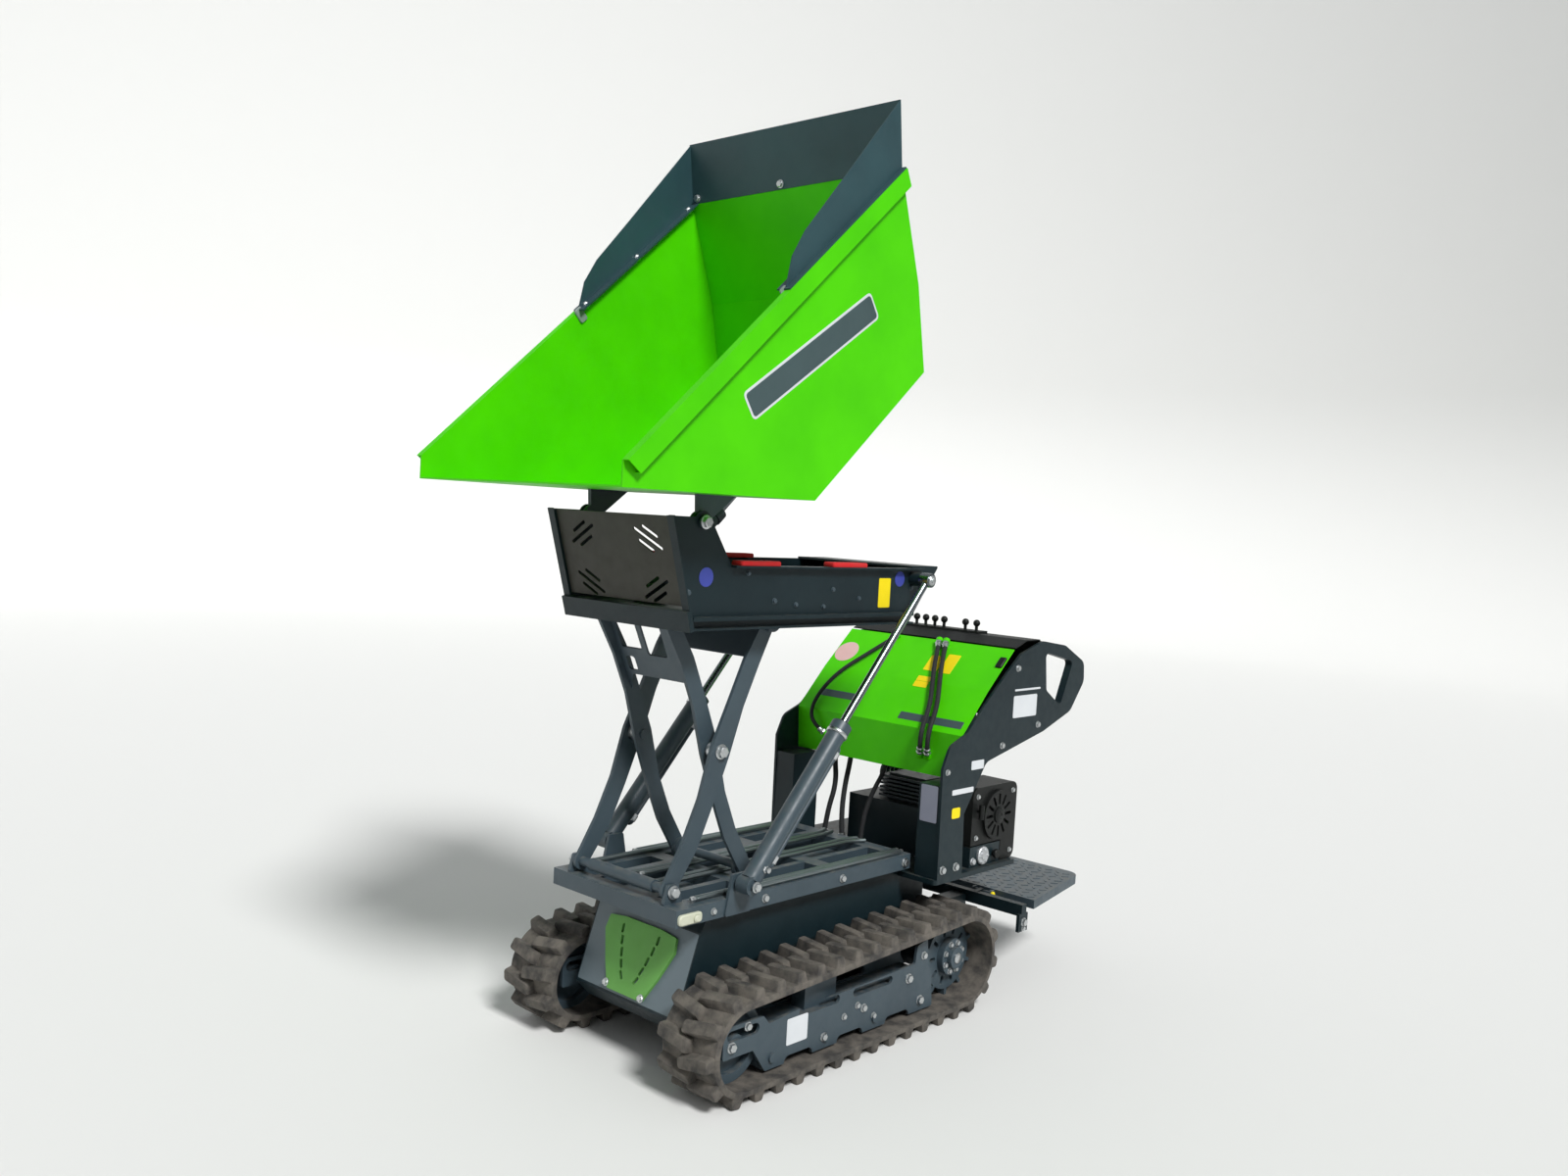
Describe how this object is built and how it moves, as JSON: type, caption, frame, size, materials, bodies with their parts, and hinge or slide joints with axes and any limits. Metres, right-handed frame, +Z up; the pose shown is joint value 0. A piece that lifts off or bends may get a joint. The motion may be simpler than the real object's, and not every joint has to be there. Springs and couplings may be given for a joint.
{
  "type": "tracked site dumper with scissor-lift skip",
  "caption": "Walk-behind rubber-tracked site dumper: green high-tip skip on a scissor lift with twin rams, operator console with grab handles and a folding platform behind.",
  "frame": {"origin": "on the ground, on the centre line, halfway along the machine as it stands", "axes": "+X to the machine's left, +Y to its rear where the operator stands, +Z up"},
  "size_m": [0.782, 2.092, 2.407],
  "materials": {
    "green_paint": "gloss lime green paint",
    "grey_paint": "satin dark blue-grey paint",
    "black_paint": "satin near-black paint",
    "rubber": "dusty moulded rubber",
    "red_rubber": "red moulded rubber",
    "hose_rubber": "black hydraulic hose",
    "chrome": "hard chrome, ground",
    "cast_aluminium": "die-cast, as cast",
    "black_plastic": "moulded black"
  },
  "bodies": {
    "root": {"chassis": "grey_paint", "deck_frame": "grey_paint", "track_left": "rubber", "track_right": "rubber", "sprocket_left": "grey_paint", "sprocket_right": "grey_paint", "idler_left": "grey_paint", "idler_right": "grey_paint", "rollers_left": "grey_paint", "rollers_right": "grey_paint", "track_frame_left": "grey_paint", "track_frame_right": "grey_paint", "console_base": "grey_paint", "console_side_left": "grey_paint", "console_side_right": "grey_paint", "hood": "green_paint", "console_top": "black_plastic", "console_shelf": "grey_paint", "fuel_tank": "black_plastic", "engine_block": "cast_aluminium", "engine_shroud": "black_plastic", "platform_bracket": "grey_paint", "tow_hitch": "grey_paint", "belly_guard": "green_paint", "control_levers": "black_plastic", "hose_hood_far": "hose_rubber", "hose_hood_a": "hose_rubber", "hose_hood_b": "hose_rubber", "hose_down_a": "hose_rubber", "hose_down_b": "hose_rubber", "hose_down_c": "hose_rubber"},
    "arm_a": {"scissor_arm_a": "grey_paint"},
    "arm_b": {"scissor_arm_b": "grey_paint"},
    "tray": {"tray_frame": "grey_paint", "front_panel": "grey_paint", "rest_pads": "red_rubber"},
    "lift_barrel_left": {"lift_barrel_left": "grey_paint"},
    "lift_rod_left": {"lift_rod_left": "chrome"},
    "lift_barrel_right": {"lift_barrel_right": "grey_paint"},
    "lift_rod_right": {"lift_rod_right": "chrome"},
    "skip": {"skip_shell": "green_paint", "skip_rim": "green_paint", "skip_extension": "black_paint", "skip_hinge": "grey_paint"},
    "tip_barrel": {"tip_barrel": "grey_paint"},
    "tip_rod": {"tip_rod": "chrome"},
    "platform": {"platform": "grey_paint"}
  },
  "joints": [
    {"name": "lift", "type": "hinge", "parent": "root", "child": "arm_a", "pos_m": [0, -0.665, 0.4743], "axis": [1, 0, 0], "range_deg": [-58.9, 0]},
    {"name": "arm_cross", "type": "hinge", "parent": "arm_a", "child": "arm_b", "pos_m": [0, -0.51509, 0.79433], "axis": [1, 0, 0], "range_deg": [0, 117.8]},
    {"name": "tray_level", "type": "hinge", "parent": "arm_b", "child": "tray", "pos_m": [0, -0.665, 1.11436], "axis": [1, 0, 0], "range_deg": [-58.9, 0]},
    {"name": "lift_cylinder_left", "type": "hinge", "parent": "root", "child": "lift_barrel_left", "pos_m": [0.265, -0.495, 0.483], "axis": [1, 0, 0], "range_deg": [-33.67, 0]},
    {"name": "lift_rod_slide_left", "type": "slide", "parent": "lift_barrel_left", "child": "lift_rod_left", "axis": [0, 0.6591, 0.752], "range_m": [-0.31341, 0]},
    {"name": "lift_cylinder_right", "type": "hinge", "parent": "root", "child": "lift_barrel_right", "pos_m": [-0.265, -0.495, 0.483], "axis": [1, 0, 0], "range_deg": [-33.67, 0]},
    {"name": "lift_rod_slide_right", "type": "slide", "parent": "lift_barrel_right", "child": "lift_rod_right", "axis": [0, 0.6591, 0.752], "range_m": [-0.31341, 0]},
    {"name": "skip_tip", "type": "hinge", "parent": "tray", "child": "skip", "pos_m": [0, -0.66, 1.35466], "axis": [1, 0, 0], "range_deg": [-41.5, 26]},
    {"name": "tip_cylinder", "type": "hinge", "parent": "tray", "child": "tip_barrel", "pos_m": [0, -0.62, 1.18166], "axis": [1, 0, 0], "range_deg": [-32.38, 20.29]},
    {"name": "tip_rod_slide", "type": "slide", "parent": "tip_barrel", "child": "tip_rod", "axis": [0, 0.7395, 0.6731], "range_m": [-0.11277, 0.07084]},
    {"name": "platform_fold", "type": "hinge", "parent": "root", "child": "platform", "pos_m": [0, 0.635, 0.253], "axis": [1, 0, 0], "range_deg": [0, 85]}
  ],
  "couplings": [
    {"joint": "arm_cross", "follows": "lift", "ratio": -2},
    {"joint": "tray_level", "follows": "lift", "ratio": 1},
    {"joint": "lift_cylinder_left", "follows": "lift", "ratio": 0.57148},
    {"joint": "lift_rod_slide_left", "follows": "lift", "m_per_rad": 0.30439},
    {"joint": "lift_cylinder_right", "follows": "lift", "ratio": 0.57148},
    {"joint": "lift_rod_slide_right", "follows": "lift", "m_per_rad": 0.30439},
    {"joint": "tip_cylinder", "follows": "skip_tip", "ratio": 0.78},
    {"joint": "tip_rod_slide", "follows": "skip_tip", "m_per_rad": 0.155}
  ]
}
